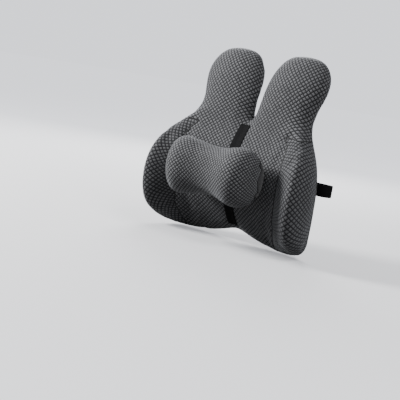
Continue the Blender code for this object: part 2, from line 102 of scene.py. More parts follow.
# ---------------------------------------------------------------- node helpers
class NodeDesk:
    """Adds and wires nodes in one node tree, left to right."""

    def __init__(self, tree: bpy.types.NodeTree) -> None:
        """Args:
            tree: the node tree to work in.
        """
        self.tree = tree
        self.column = 0

    def add(self, kind: str, **settings: object) -> bpy.types.Node:
        """Adds a node.

        Args:
            kind: the node's type name.
            settings: attributes to set on it.

        Returns:
            The new node.
        """
        node = self.tree.nodes.new(kind)
        for name, value in settings.items():
            setattr(node, name, value)
        node.location = (self.column * 180.0, -(self.column % 5) * 160.0)
        self.column += 1
        return node

    def feed(self, socket: bpy.types.NodeSocket, value: object) -> None:
        """Links a socket to an input, or sets the input's number.

        Args:
            socket: the input.
            value: an output socket, a number or a colour.
        """
        if isinstance(value, bpy.types.NodeSocket):
            self.tree.links.new(value, socket)
        else:
            socket.default_value = value

    def math(self, operation: str, *values: object) -> bpy.types.NodeSocket:
        """Adds a Math node.

        Args:
            operation: its operation.
            values: up to three numbers or sockets.

        Returns:
            Its output.
        """
        node = self.add("ShaderNodeMath", operation=operation)
        for socket, value in zip(node.inputs, values):
            self.feed(socket, value)
        return node.outputs[0]

    def ramp(self, value: object, low: object, high: object) -> bpy.types.NodeSocket:
        """A smooth step from 0 at low to 1 at high.

        Args:
            value: what is compared.
            low: where the step starts.
            high: where it ends.

        Returns:
            The step's output.
        """
        node = self.add("ShaderNodeMapRange", interpolation_type="SMOOTHSTEP")
        self.feed(node.inputs["Value"], value)
        self.feed(node.inputs["From Min"], low)
        self.feed(node.inputs["From Max"], high)
        return node.outputs["Result"]

    def blend(self, share: object, first: object, second: object) -> bpy.types.NodeSocket:
        """Mixes two colours.

        Args:
            share: how much of the second.
            first: a colour or socket.
            second: a colour or socket.

        Returns:
            The mixed colour.
        """
        node = self.add("ShaderNodeMix", data_type="RGBA")
        self.feed(node.inputs[0], share)
        self.feed(node.inputs[6], first)
        self.feed(node.inputs[7], second)
        return node.outputs[2]

    def grain(self, place: object, scale: float, detail: float = 3.0) -> bpy.types.NodeSocket:
        """Noise over the surface.

        Args:
            place: the coordinate socket.
            scale: how fine it is.
            detail: how many octaves it has.

        Returns:
            The noise, about 0.5.
        """
        node = self.add("ShaderNodeTexNoise")
        self.feed(node.inputs["Vector"], place)
        node.inputs["Scale"].default_value = scale
        node.inputs["Detail"].default_value = detail
        return node.outputs["Fac"]

    def group(self, tree: bpy.types.NodeTree, **values: object) -> bpy.types.Node:
        """Places a node group.

        Args:
            tree: the group.
            values: its inputs, with underscores for spaces.

        Returns:
            The group node.
        """
        node = self.add("ShaderNodeGroup", node_tree=tree)
        for name, value in values.items():
            self.feed(node.inputs[name.replace("_", " ")], value)
        return node


def start_group(
    name: str, inputs: dict[str, object], outputs: dict[str, str]
) -> tuple[bpy.types.NodeTree, NodeDesk, bpy.types.Node, bpy.types.Node]:
    """Starts a node group with named sockets.

    Args:
        name: the group's name.
        inputs: each input's name and its default number or colour, or None for a vector.
        outputs: each output's name and socket type.

    Returns:
        The group, its desk, its input node and its output node.
    """
    tree = bpy.data.node_groups.new(name, "ShaderNodeTree")
    for label, start in inputs.items():
        kind = "NodeSocketVector" if start is None else "NodeSocketFloat"
        if isinstance(start, tuple):
            kind = "NodeSocketColor"
        socket = tree.interface.new_socket(label, in_out="INPUT", socket_type=kind)
        if start is not None:
            socket.default_value = start
    for label, kind in outputs.items():
        tree.interface.new_socket(label, in_out="OUTPUT", socket_type=kind)
    desk = NodeDesk(tree)
    entry = desk.add("NodeGroupInput")
    leave = desk.add("NodeGroupOutput")
    return tree, desk, entry, leave


# ----------------------------------------------------------------- node groups
def diamond_lattice() -> bpy.types.NodeTree:
    """Raised diamond pads with narrow sunken lines between them, and knit loops on
    the pads.

    Returns:
        The node group.
    """
    tree, desk, entry, leave = start_group(
        "diamond lattice",
        {"Cells": None, "Line": 0.07, "Edge": 0.12},
        {
            "Pad": "NodeSocketFloat",
            "Height": "NodeSocketFloat",
            "Cell": "NodeSocketFloat",
        },
    )
    cells = entry.outputs["Cells"]
    wander = desk.add("ShaderNodeTexNoise", noise_dimensions="2D")
    desk.feed(wander.inputs["Vector"], cells)
    wander.inputs["Scale"].default_value = 0.35
    wander.inputs["Detail"].default_value = 2.0
    shift = desk.math("MULTIPLY", desk.math("SUBTRACT", wander.outputs["Fac"], 0.5), 0.5)
    split = desk.add("ShaderNodeSeparateXYZ")
    desk.feed(split.inputs[0], cells)
    across = desk.math("ADD", split.outputs["X"], shift)
    along = split.outputs["Y"]
    rising = desk.math("ADD", across, along)
    falling = desk.math("SUBTRACT", across, along)
    to_line = desk.math(
        "MINIMUM", desk.math("PINGPONG", rising, 0.5), desk.math("PINGPONG", falling, 0.5)
    )
    far = desk.math("ADD", entry.outputs["Line"], entry.outputs["Edge"])
    pad = desk.ramp(to_line, entry.outputs["Line"], far)
    loops_x = desk.math("SINE", desk.math("MULTIPLY", across, 2 * pi * 6))
    loops_y = desk.math("SINE", desk.math("MULTIPLY", along, 2 * pi * 7))
    loops = desk.math("MULTIPLY", desk.math("MULTIPLY", loops_x, loops_y), 0.10)
    dome = desk.math("POWER", desk.math("MULTIPLY", to_line, 2.0), 0.5)
    height = desk.math("MULTIPLY", pad, desk.math("ADD", dome, loops))
    tag = desk.add("ShaderNodeCombineXYZ")
    desk.feed(tag.inputs["X"], desk.math("FLOOR", rising))
    desk.feed(tag.inputs["Y"], desk.math("FLOOR", falling))
    chance = desk.add("ShaderNodeTexWhiteNoise", noise_dimensions="2D")
    desk.feed(chance.inputs["Vector"], tag.outputs[0])
    desk.feed(leave.inputs["Pad"], pad)
    desk.feed(leave.inputs["Height"], height)
    desk.feed(leave.inputs["Cell"], chance.outputs["Value"])
    return tree


def plain_weave() -> bpy.types.NodeTree:
    """Threads over and under each other, by position on the cloth in metres.

    Returns:
        The node group.
    """
    tree, desk, entry, leave = start_group(
        "plain weave",
        {"Cloth": None, "Thread": 0.0012},
        {"Height": "NodeSocketFloat", "Gap": "NodeSocketFloat"},
    )
    split = desk.add("ShaderNodeSeparateXYZ")
    desk.feed(split.inputs[0], entry.outputs["Cloth"])
    turn = desk.math("DIVIDE", pi, entry.outputs["Thread"])
    warp = desk.math("MULTIPLY", split.outputs["X"], turn)
    weft = desk.math("MULTIPLY", split.outputs["Y"], turn)
    over = desk.math("MULTIPLY", desk.math("SINE", warp), desk.math("SINE", weft))
    ridge = desk.math("ABSOLUTE", over)
    desk.feed(leave.inputs["Height"], desk.math("ADD", ridge, over))
    desk.feed(leave.inputs["Gap"], desk.ramp(ridge, 0.25, 0.02))
    return tree


def webbing_ribs() -> bpy.types.NodeTree:
    """Chevron ribs of a woven strap: X is across it and Y along it, in metres.

    Returns:
        The node group.
    """
    tree, desk, entry, leave = start_group(
        "webbing ribs",
        {"Strap": None, "Rib": 0.0021, "Pick": 0.0016},
        {"Height": "NodeSocketFloat", "Valley": "NodeSocketFloat"},
    )
    split = desk.add("ShaderNodeSeparateXYZ")
    desk.feed(split.inputs[0], entry.outputs["Strap"])
    rib = desk.math("DIVIDE", split.outputs["X"], entry.outputs["Rib"])
    across = desk.math("PINGPONG", rib, 0.5)
    pick = desk.math("DIVIDE", split.outputs["Y"], entry.outputs["Pick"])
    slant = desk.math("ADD", pick, across)
    yarn = desk.math("PINGPONG", slant, 0.5)
    height = desk.math("ADD", desk.math("MULTIPLY", across, 1.2), yarn)
    desk.feed(leave.inputs["Height"], height)
    desk.feed(leave.inputs["Valley"], desk.ramp(across, 0.16, 0.02))
    return tree


def handling_wear() -> bpy.types.NodeTree:
    """Where hands and edges rub: lighter on sharp edges, blotchy elsewhere.

    Returns:
        The node group.
    """
    tree, desk, entry, leave = start_group(
        "handling wear",
        {"Place": None, "Amount": 0.5},
        {"Edge": "NodeSocketFloat", "Blotch": "NodeSocketFloat"},
    )
    geometry = desk.add("ShaderNodeNewGeometry")
    edge = desk.ramp(geometry.outputs["Pointiness"], 0.52, 0.60)
    patchy = desk.grain(entry.outputs["Place"], 120.0, 4.0)
    rubbed = desk.math("MULTIPLY", edge, desk.ramp(patchy, 0.35, 0.65))
    desk.feed(
        leave.inputs["Edge"], desk.math("MULTIPLY", rubbed, entry.outputs["Amount"])
    )
    desk.feed(leave.inputs["Blotch"], patchy)
    return tree


# ------------------------------------------------------------------- finishes
@dataclass(frozen=True)
class Effects:
    """The shared node groups, built once."""

    lattice: bpy.types.NodeTree = field(default_factory=diamond_lattice)
    weave: bpy.types.NodeTree = field(default_factory=plain_weave)
    ribs: bpy.types.NodeTree = field(default_factory=webbing_ribs)
    wear: bpy.types.NodeTree = field(default_factory=handling_wear)


def start_material(
    name: str,
) -> tuple[bpy.types.Material, NodeDesk, bpy.types.Node]:
    """Starts a material with its own Principled shader.

    Args:
        name: the material's name.

    Returns:
        The material, its desk and its shader.
    """
    made = bpy.data.materials.new(name)
    made.use_nodes = True
    desk = NodeDesk(made.node_tree)
    desk.column = 2
    return made, desk, made.node_tree.nodes["Principled BSDF"]


def add_bump(
    desk: NodeDesk, shader: bpy.types.Node, height: object, distance: float, strength: float
) -> None:
    """Feeds a height to the shader's normal.

    Args:
        desk: the material's desk.
        shader: its Principled shader.
        height: the height socket.
        distance: how deep the height of 1 is, in metres.
        strength: how strongly it shows.
    """
    bump = desk.add("ShaderNodeBump")
    bump.inputs["Distance"].default_value = distance
    bump.inputs["Strength"].default_value = strength
    desk.feed(bump.inputs["Height"], height)
    desk.feed(shader.inputs["Normal"], bump.outputs[0])


@dataclass(frozen=True)
class DiamondKnit:
    """Spacer knit: light raised diamonds over a black ground."""

    name: str
    pad: Colour = (0.178, 0.179, 0.186)
    line: Colour = (0.012, 0.012, 0.014)
    line_width: float = 0.045
    soft_edge: float = 0.24
    sheen: float = 0.34

    def build(self, effects: Effects) -> bpy.types.Material:
        """Args:
            effects: the shared node groups.

        Returns:
            The material. It reads the piece's UV map, in lattice cells.
        """
        made, desk, shader = start_material(self.name)
        place = desk.add("ShaderNodeUVMap", uv_map="UVMap").outputs[0]
        lattice = desk.group(
            effects.lattice, Cells=place, Line=self.line_width, Edge=self.soft_edge
        )
        spot = desk.add("ShaderNodeTexCoord").outputs["Object"]
        broad = desk.grain(spot, 14.0, 2.0)
        fuzz = desk.grain(spot, 1400.0, 2.0)
        light = desk.math("MULTIPLY_ADD", lattice.outputs["Cell"], 0.22, 0.80)
        light = desk.math("MULTIPLY", light, desk.math("MULTIPLY_ADD", broad, 0.36, 0.82))
        light = desk.math("MULTIPLY", light, desk.math("MULTIPLY_ADD", fuzz, 0.7, 0.65))
        tint = desk.add("ShaderNodeVectorMath", operation="SCALE")
        desk.feed(tint.inputs[0], self.pad)
        desk.feed(tint.inputs["Scale"], light)
        ground = (*self.line, 1.0)
        colour = desk.blend(lattice.outputs["Pad"], ground, tint.outputs[0])
        desk.feed(shader.inputs["Base Color"], colour)
        rough = desk.math("MULTIPLY_ADD", fuzz, 0.16, 0.74)
        desk.feed(shader.inputs["Roughness"], rough)
        shader.inputs["Specular IOR Level"].default_value = 0.25
        shader.inputs["Sheen Weight"].default_value = self.sheen
        shader.inputs["Sheen Roughness"].default_value = 0.42
        shader.inputs["Sheen Tint"].default_value = (0.78, 0.80, 0.84, 1.0)
        height = desk.math("MULTIPLY_ADD", fuzz, 0.12, lattice.outputs["Height"])
        add_bump(desk, shader, height, 0.0011, 0.8)
        return made


@dataclass(frozen=True)
class BackCloth:
    """Plain woven cloth of the hidden side."""

    name: str
    thread_colour: Colour = (0.034, 0.034, 0.037)

    def build(self, effects: Effects) -> bpy.types.Material:
        """Args:
            effects: the shared node groups.

        Returns:
            The material. It reads the piece's UV map, in lattice cells.
        """
        made, desk, shader = start_material(self.name)
        place = desk.add("ShaderNodeUVMap", uv_map="UVMap").outputs[0]
        weave = desk.group(effects.weave, Cloth=place, Thread=0.17)
        spot = desk.add("ShaderNodeTexCoord").outputs["Object"]
        broad = desk.grain(spot, 22.0, 3.0)
        fuzz = desk.grain(spot, 1600.0, 2.0)
        light = desk.math("MULTIPLY_ADD", broad, 0.5, 0.75)
        light = desk.math("MULTIPLY", light, desk.math("MULTIPLY_ADD", fuzz, 0.6, 0.7))
        tint = desk.add("ShaderNodeVectorMath", operation="SCALE")
        desk.feed(tint.inputs[0], self.thread_colour)
        desk.feed(tint.inputs["Scale"], light)
        dark = (0.008, 0.008, 0.009, 1.0)
        colour = desk.blend(weave.outputs["Gap"], tint.outputs[0], dark)
        desk.feed(shader.inputs["Base Color"], colour)
        desk.feed(shader.inputs["Roughness"], desk.math("MULTIPLY_ADD", fuzz, 0.2, 0.72))
        shader.inputs["Sheen Weight"].default_value = 0.3
        shader.inputs["Sheen Roughness"].default_value = 0.5
        height = desk.math("MULTIPLY_ADD", fuzz, 0.2, weave.outputs["Height"])
        add_bump(desk, shader, height, 0.0004, 0.7)
        return made


@dataclass(frozen=True)
class Webbing:
    """Woven strap."""

    name: str
    yarn: Colour = (0.0056, 0.0055, 0.0062)
    rib: float = 0.0021

    def build(self, effects: Effects) -> bpy.types.Material:
        """Args:
            effects: the shared node groups.

        Returns:
            The material. It reads the piece's UV map, in metres.
        """
        made, desk, shader = start_material(self.name)
        place = desk.add("ShaderNodeUVMap", uv_map="UVMap").outputs[0]
        ribs = desk.group(effects.ribs, Strap=place, Rib=self.rib, Pick=self.rib * 0.8)
        spot = desk.add("ShaderNodeTexCoord").outputs["Object"]
        fuzz = desk.grain(spot, 900.0, 3.0)
        broad = desk.grain(spot, 30.0, 2.0)
        light = desk.math("MULTIPLY_ADD", fuzz, 0.9, 0.55)
        light = desk.math("MULTIPLY", light, desk.math("MULTIPLY_ADD", broad, 0.5, 0.75))
        tint = desk.add("ShaderNodeVectorMath", operation="SCALE")
        desk.feed(tint.inputs[0], self.yarn)
        desk.feed(tint.inputs["Scale"], light)
        dark = (0.004, 0.004, 0.005, 1.0)
        colour = desk.blend(ribs.outputs["Valley"], tint.outputs[0], dark)
        desk.feed(shader.inputs["Base Color"], colour)
        desk.feed(shader.inputs["Roughness"], desk.math("MULTIPLY_ADD", fuzz, 0.25, 0.68))
        shader.inputs["Specular IOR Level"].default_value = 0.14
        add_bump(desk, shader, ribs.outputs["Height"], 0.0005, 0.8)
        return made


@dataclass(frozen=True)
class MouldedPlastic:
    """Spark-textured black plastic of the buckle."""

    name: str
    base: Colour = (0.018, 0.018, 0.020)
    worn: Colour = (0.085, 0.085, 0.09)

    def build(self, effects: Effects) -> bpy.types.Material:
        """Args:
            effects: the shared node groups.

        Returns:
            The material.
        """
        made, desk, shader = start_material(self.name)
        spot = desk.add("ShaderNodeTexCoord").outputs["Object"]
        wear = desk.group(effects.wear, Place=spot, Amount=0.6)
        colour = desk.blend(wear.outputs["Edge"], (*self.base, 1.0), (*self.worn, 1.0))
        desk.feed(shader.inputs["Base Color"], colour)
        rough = desk.math("MULTIPLY_ADD", wear.outputs["Blotch"], 0.10, 0.40)
        desk.feed(shader.inputs["Roughness"], rough)
        spark = desk.grain(spot, 2600.0, 2.0)
        add_bump(desk, shader, spark, 0.00006, 0.4)
        return made


@dataclass(frozen=True)
class EnamelledMetal:
    """Dark enamel of the zip's slider, pull and stops, rubbed at its edges."""

    name: str
    enamel: Colour = (0.05, 0.05, 0.055)
    bare: Colour = (0.42, 0.42, 0.44)

    def build(self, effects: Effects) -> bpy.types.Material:
        """Args:
            effects: the shared node groups.

        Returns:
            The material.
        """
        made, desk, shader = start_material(self.name)
        spot = desk.add("ShaderNodeTexCoord").outputs["Object"]
        wear = desk.group(effects.wear, Place=spot, Amount=0.9)
        colour = desk.blend(wear.outputs["Edge"], (*self.enamel, 1.0), (*self.bare, 1.0))
        desk.feed(shader.inputs["Base Color"], colour)
        metal = desk.math("MULTIPLY_ADD", wear.outputs["Edge"], 0.5, 0.5)
        desk.feed(shader.inputs["Metallic"], metal)
        rough = desk.math("MULTIPLY_ADD", wear.outputs["Blotch"], 0.14, 0.28)
        desk.feed(shader.inputs["Roughness"], rough)
        add_bump(desk, shader, desk.grain(spot, 700.0, 3.0), 0.0001, 0.4)
        return made


@dataclass(frozen=True)
class Thread:
    """Sewing thread, and the near-black painted shade laid in the seams' grooves."""

    name: str
    colour: Colour = (0.03, 0.03, 0.033)

    def build(self, effects: Effects) -> bpy.types.Material:
        """Args:
            effects: the shared node groups.

        Returns:
            The material.
        """
        made, desk, shader = start_material(self.name)
        spot = desk.add("ShaderNodeTexCoord").outputs["Object"]
        weave = desk.group(effects.weave, Cloth=spot, Thread=0.0005)
        shade = desk.grain(spot, 500.0, 2.0)
        tint = desk.add("ShaderNodeVectorMath", operation="SCALE")
        desk.feed(tint.inputs[0], self.colour)
        desk.feed(tint.inputs["Scale"], desk.math("MULTIPLY_ADD", shade, 0.9, 0.6))
        desk.feed(shader.inputs["Base Color"], tint.outputs[0])
        desk.feed(shader.inputs["Roughness"], desk.math("MULTIPLY_ADD", shade, 0.3, 0.45))
        add_bump(desk, shader, weave.outputs["Height"], 0.0001, 0.5)
        return made


@dataclass
class Wardrobe:
    """Every finish of the object, built once and shared."""

    effects: Effects = field(default_factory=Effects)
    made: dict[str, bpy.types.Material] = field(default_factory=dict)

    def get(self, finish: object) -> bpy.types.Material:
        """Args:
            finish: one of the finish classes above.

        Returns:
            Its material, built the first time it is asked for.
        """
        if finish.name not in self.made:
            self.made[finish.name] = finish.build(self.effects)
        return self.made[finish.name]


KNIT_FRONT = DiamondKnit("knit front")
# The side panels' pads are darker than the front's: painted shade of the sides, which turn
# away from the light.
KNIT_SIDE_PAINTED_SHADE = DiamondKnit("knit side painted shade", pad=(0.154, 0.155, 0.161))
# The pillow's pads are lighter than the front's: painted light on the pillow, which stands out
# into the light.
KNIT_PILLOW_PAINTED_LIGHT = DiamondKnit("knit pillow painted light", pad=(0.205, 0.206, 0.213))
BACK_CLOTH = BackCloth("back cloth")
STRAP = Webbing("webbing")
ELASTIC = Webbing("elastic", yarn=(0.014, 0.014, 0.015), rib=0.0013)
PLASTIC = MouldedPlastic("buckle plastic")
METAL = EnamelledMetal("zip enamel")
THREAD = Thread("thread", colour=(0.055, 0.055, 0.06))
# A near-black tube colour for the seams' grooves: painted shade, along the sewn line.
SEAM_GROOVE_SHADE = Thread("seam shadow", colour=(0.006, 0.006, 0.007))


# ------------------------------------------------------------- mesh utilities
def deselect() -> None:
    """Leaves edit mode and selects nothing."""
    if bpy.context.object and bpy.context.object.mode != "OBJECT":
        bpy.ops.object.mode_set(mode="OBJECT")
    bpy.ops.object.select_all(action="DESELECT")


def activate(obj: bpy.types.Object) -> None:
    """Selects one object and makes it active.

    Args:
        obj: the object.
    """
    deselect()
    obj.select_set(True)
    bpy.context.view_layer.objects.active = obj


def apply_modifier(obj: bpy.types.Object, kind: str, **settings: object) -> None:
    """Adds a modifier and applies it.

    Args:
        obj: the object.
        kind: the modifier's type.
        settings: its settings.
    """
    activate(obj)
    step = obj.modifiers.new(kind.lower(), kind)
    for name, value in settings.items():
        setattr(step, name, value)
    bpy.ops.object.modifier_apply(modifier=step.name)


def smooth_by_angle(obj: bpy.types.Object, degrees: float) -> None:
    """Args:
        obj: the object to shade smooth.
        degrees: edges sharper than this stay sharp.
    """
    activate(obj)
    bpy.ops.object.shade_smooth_by_angle(angle=radians(degrees))


def tree_of(mesh: bpy.types.Mesh) -> BVHTree:
    """Builds a search tree of a mesh's faces.

    Args:
        mesh: the mesh.

    Returns:
        The tree.
    """
    work = bmesh.new()
    work.from_mesh(mesh)
    tree = BVHTree.FromBMesh(work)
    work.free()
    return tree


def copy_node(node: str, name: str) -> bpy.types.Object:
    """Copies a CAD node's mesh into a new, merged object at the origin.

    Args:
        node: the CAD node's name.
        name: the new object's name.

    Returns:
        The copy.
    """
    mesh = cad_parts[node].data.copy()
    mesh.name = name
    mesh.materials.clear()
    work = bmesh.new()
    work.from_mesh(mesh)
    bmesh.ops.remove_doubles(work, verts=work.verts[:], dist=0.00002)
    work.to_mesh(mesh)
    work.free()
    copy = bpy.data.objects.new(name, mesh)
    bpy.context.scene.collection.objects.link(copy)
    return copy


def positions(mesh: bpy.types.Mesh) -> np.ndarray:
    """Reads the mesh's vertices.

    Args:
        mesh: the mesh.

    Returns:
        Rows of three numbers.
    """
    flat = np.zeros(len(mesh.vertices) * 3)
    mesh.vertices.foreach_get("co", flat)
    return flat.reshape(-1, 3)


def set_positions(mesh: bpy.types.Mesh, places: np.ndarray) -> None:
    """Moves the mesh's vertices.

    Args:
        mesh: the mesh.
        places: rows of three numbers.
    """
    mesh.vertices.foreach_set("co", places.ravel())
    mesh.update()


def vertex_normals(mesh: bpy.types.Mesh) -> np.ndarray:
    """Reads the mesh's vertex normals.

    Args:
        mesh: the mesh.

    Returns:
        Rows of three numbers.
    """
    flat = np.zeros(len(mesh.vertices) * 3)
    mesh.vertex_normals.foreach_get("vector", flat)
    return flat.reshape(-1, 3)


def finish_piece(
    obj: bpy.types.Object, body: str, replaced: tuple[str, ...] = ()
) -> None:
    """Hands a finished piece to the frame.

    Args:
        obj: the piece.
        body: the body it moves with.
        replaced: the CAD nodes it stands for.
    """
    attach(obj, body)
    if replaced:
        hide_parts(*replaced)
    LOG.info("%s rides on %s, %d faces", obj.name, body, len(obj.data.polygons))


# --------------------------------------------------------------- padded covers
@dataclass
class Panel:
    """One cut piece of a cover, and the CAD nodes that it stands for."""

    nodes: tuple[str, ...]
    cloth: Cloth
    finish: object
    cell_across: float
    cell_along: float
    cell_across_far: float = 0.0


@dataclass
class PaddedCover:
    """A closed cover over foam: cut panels sewn edge to edge and filled."""

    name: str
    foam: str
    panels: list[Panel]
    grow: float
    cap: float
    pinned: tuple[Cloth, ...]
    groove: float = 0.0013
    groove_width: float = 0.0026
    pucker: float = 0.0004
    fill: float = 0.85
    pressure: float = 4.0

    def build(self, wardrobe: Wardrobe) -> bpy.types.Object:
        """Args:
            wardrobe: the finishes.

        Returns:
            The finished cover.
        """
        cover = copy_node(self.foam, self.name)
        mesh = cover.data
        set_positions(mesh, positions(mesh) + vertex_normals(mesh) * self.grow)
        for panel in self.panels:
            mesh.materials.append(wardrobe.get(panel.finish))
        self.label_faces(mesh)
        activate(cover)
        bpy.ops.object.mode_set(mode="EDIT")
        bpy.ops.mesh.select_all(action="SELECT")
        bpy.ops.mesh.tris_convert_to_quads(
            face_threshold=radians(70), shape_threshold=radians(70), materials=True
        )
        bpy.ops.object.mode_set(mode="OBJECT")
        self.unwrap(cover)
        apply_modifier(cover, "SUBSURF", levels=2, render_levels=2)
        self.inflate(cover)
        apply_modifier(cover, "SUBSURF", levels=1, render_levels=1)
        self.sew(cover)
        self.scale_cloth(mesh)
        activate(cover)
        bpy.ops.object.shade_smooth()
        return cover

    def label_faces(self, mesh: bpy.types.Mesh) -> None:
        """Gives each face the number of the panel that it lies nearest.

        Args:
            mesh: the cover's mesh.
        """
        trees = [
            (number, tree_of(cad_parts[node].data))
            for number, panel in enumerate(self.panels)
            for node in panel.nodes
        ]
        for face in mesh.polygons:
            near = [tree.find_nearest(face.center)[3] for _, tree in trees]
            face.material_index = trees[int(np.argmin(near))][0]

    def border(self, mesh: bpy.types.Mesh) -> list[tuple[int, int]]:
        """The edges between two panels.

        Args:
            mesh: the cover's mesh.

        Returns:
            Their vertex numbers, two for each edge.
        """
        owners: dict[tuple[int, int], set[int]] = {}
        for face in mesh.polygons:
            for key in face.edge_keys:
                owners.setdefault(key, set()).add(face.material_index)
        return [key for key, panels in owners.items() if len(panels) > 1]

    def unwrap(self, cover: bpy.types.Object) -> None:
        """Lays the panels flat, one island for each, with seams at their borders.

        Args:
            cover: the cover.
        """
        mesh = cover.data
        mesh.uv_layers.new(name="UVMap")
        border = set(self.border(mesh))
        for edge in mesh.edges:
            edge.use_seam = edge.key in border
        activate(cover)
        bpy.ops.object.mode_set(mode="EDIT")
        bpy.ops.mesh.select_all(action="SELECT")
        bpy.ops.uv.unwrap(method="MINIMUM_STRETCH", iterations=40, margin=0.001)
        bpy.ops.object.mode_set(mode="OBJECT")

    def inflate(self, cover: bpy.types.Object) -> None:
        """Fills the cover with a short pressure simulation and applies it.

        Args:
            cover: the cover.
        """
        mesh = cover.data
        start = positions(mesh)
        held = {index for edge in self.border(mesh) for index in edge}
        for face in mesh.polygons:
            if self.panels[face.material_index].cloth in self.pinned:
                held.update(face.vertices)
        group = cover.vertex_groups.new(name="held")
        group.add(sorted(held), 1.0, "REPLACE")
        activate(cover)
        step = cover.modifiers.new("cloth", "CLOTH")
        step.settings.vertex_group_mass = "held"
        step.settings.use_pressure = True
        step.settings.uniform_pressure_force = self.pressure
        step.settings.quality = 5
        step.settings.mass = 0.3
        step.settings.tension_stiffness = 12.0
        step.settings.compression_stiffness = 12.0
        step.settings.shear_stiffness = 6.0
        step.settings.bending_stiffness = 0.8
        step.settings.shrink_min = -0.012
        step.settings.effector_weights.gravity = 0.0
        step.collision_settings.use_collision = False
        step.point_cache.frame_start = 1
        step.point_cache.frame_end = 20
        for number in range(1, 21):
            bpy.context.scene.frame_set(number)
        bpy.ops.object.modifier_apply(modifier=step.name)
        bpy.context.scene.frame_set(1)
        cover.vertex_groups.clear()
        moved = positions(mesh) - start
        length = np.linalg.norm(moved, axis=1, keepdims=True)
        limit = np.minimum(1.0, self.cap / np.maximum(length, 1e-9))
        set_positions(mesh, start + moved * limit)
        LOG.info("%s swelled by up to %.1f mm", self.name, length.max() * 1000)

    def sew(self, cover: bpy.types.Object) -> None:
        """Draws the cover in along its seams, with small puckers beside them.

        Args:
            cover: the cover.
        """
        mesh = cover.data
        places = positions(mesh)
        normals = vertex_normals(mesh)
        line = sorted({index for edge in self.border(mesh) for index in edge})
        near = KDTree(len(line))
        for index in line:
            near.insert(places[index], index)
        near.balance()
        for index, place in enumerate(places):
            distance = near.find(place)[2]
            if distance > 0.03:
                continue
            sink = self.groove * exp(-((distance / self.groove_width) ** 2))
            spot = Vector(place) * 75.0
            fold = self.pucker * exp(-((distance / 0.011) ** 2)) * noise.noise(spot)
            places[index] = place - normals[index] * (sink + fold)
        set_positions(mesh, places)

    def scale_cloth(self, mesh: bpy.types.Mesh) -> None:
        """Turns and scales each island so that one unit is one lattice cell.

        Args:
            mesh: the cover's mesh.
        """
        layer = mesh.uv_layers["UVMap"].data
        flat = np.zeros(len(layer) * 2)
        layer.foreach_get("uv", flat)
        spots = flat.reshape(-1, 2)
        corners = np.zeros(len(mesh.loops), int)
        mesh.loops.foreach_get("vertex_index", corners)
        places = positions(mesh)[corners]
        owner = np.zeros(len(mesh.loops), int)
        for face in mesh.polygons:
            owner[face.loop_start : face.loop_start + face.loop_total] = face.material_index
        for number, panel in enumerate(self.panels):
            mask = owner == number
            if mask.any():
                spots[mask] = self.straighten(spots[mask], places[mask], panel)
            if mask.any() and panel.cloth is Cloth.DIAMOND_FRONT:
                spots[mask] = self.square_up(mesh, corners[mask], spots[mask], panel)
        layer.foreach_set("uv", spots.ravel())

    def square_up(
        self, mesh: bpy.types.Mesh, corners: np.ndarray, spots: np.ndarray, panel: Panel
    ) -> np.ndarray:
        """Turns the cloth so that its lattice keeps one direction seen from the front.

        At each point the front's axes are tipped onto the surface, and the flat
        cloth whose threads lie closest to them is solved for.

        Args:
            mesh: the cover's mesh.
            corners: the vertex of each of the island's corners.
            spots: the corners in lattice cells, as a first guess.
            panel: the panel.

        Returns:
            The corners in lattice cells.
        """
        used, slots = np.unique(corners, return_inverse=True)
        lookup = np.full(len(mesh.vertices), -1)
        lookup[used] = np.arange(len(used))
        ends = np.zeros(len(mesh.edges) * 2, int)
        mesh.edges.foreach_get("vertices", ends)
        pairs = lookup[ends.reshape(-1, 2)]
        pairs = pairs[(pairs >= 0).all(axis=1)]
        places = positions(mesh)[used]
        normals = vertex_normals(mesh)[used]
        front = np.array([0.0, -1.0, 0.0])
        hinge = np.cross(front, normals)
        open_share = np.maximum(1.0 + normals @ front, 0.05)[:, None]
        start, end = pairs[:, 0], pairs[:, 1]
        step = places[end] - places[start]
        size = len(used)
        ties = np.bincount(pairs.ravel(), minlength=size)

        def spread(values: np.ndarray) -> np.ndarray:
            """Args:
                values: one number at each vertex.

            Returns:
                How far each one stands from its neighbours, added up.
            """
            total = ties * values
            total -= np.bincount(start, values[end], size)
            return total - np.bincount(end, values[start], size)

        result = np.zeros((size, 2))
        cells = (panel.cell_across, panel.cell_along)
        for column, axis in enumerate(((1.0, 0.0, 0.0), (0.0, 0.0, 1.0))):
            tipped = np.cross(hinge, axis)
            tipped = np.array(axis) + tipped + np.cross(hinge, tipped) / open_share
            wanted = (step * (tipped[start] + tipped[end])).sum(axis=1) / 2 / cells[column]
            pull = np.bincount(end, wanted, size) - np.bincount(start, wanted, size)
            guess = np.zeros(size)
            guess[slots] = spots[:, column]
            rest = pull - spread(guess)
            way = rest.copy()
            power = rest @ rest
            goal = power * SOLVE_GOAL
            for _ in range(SOLVE_STEPS):
                if power <= goal:
                    break
                moved = spread(way)
                share = power / (way @ moved)
                guess += share * way
                rest -= share * moved
                fresh = rest @ rest
                way = rest + way * (fresh / power)
                power = fresh
            result[:, column] = guess
        return result[slots]

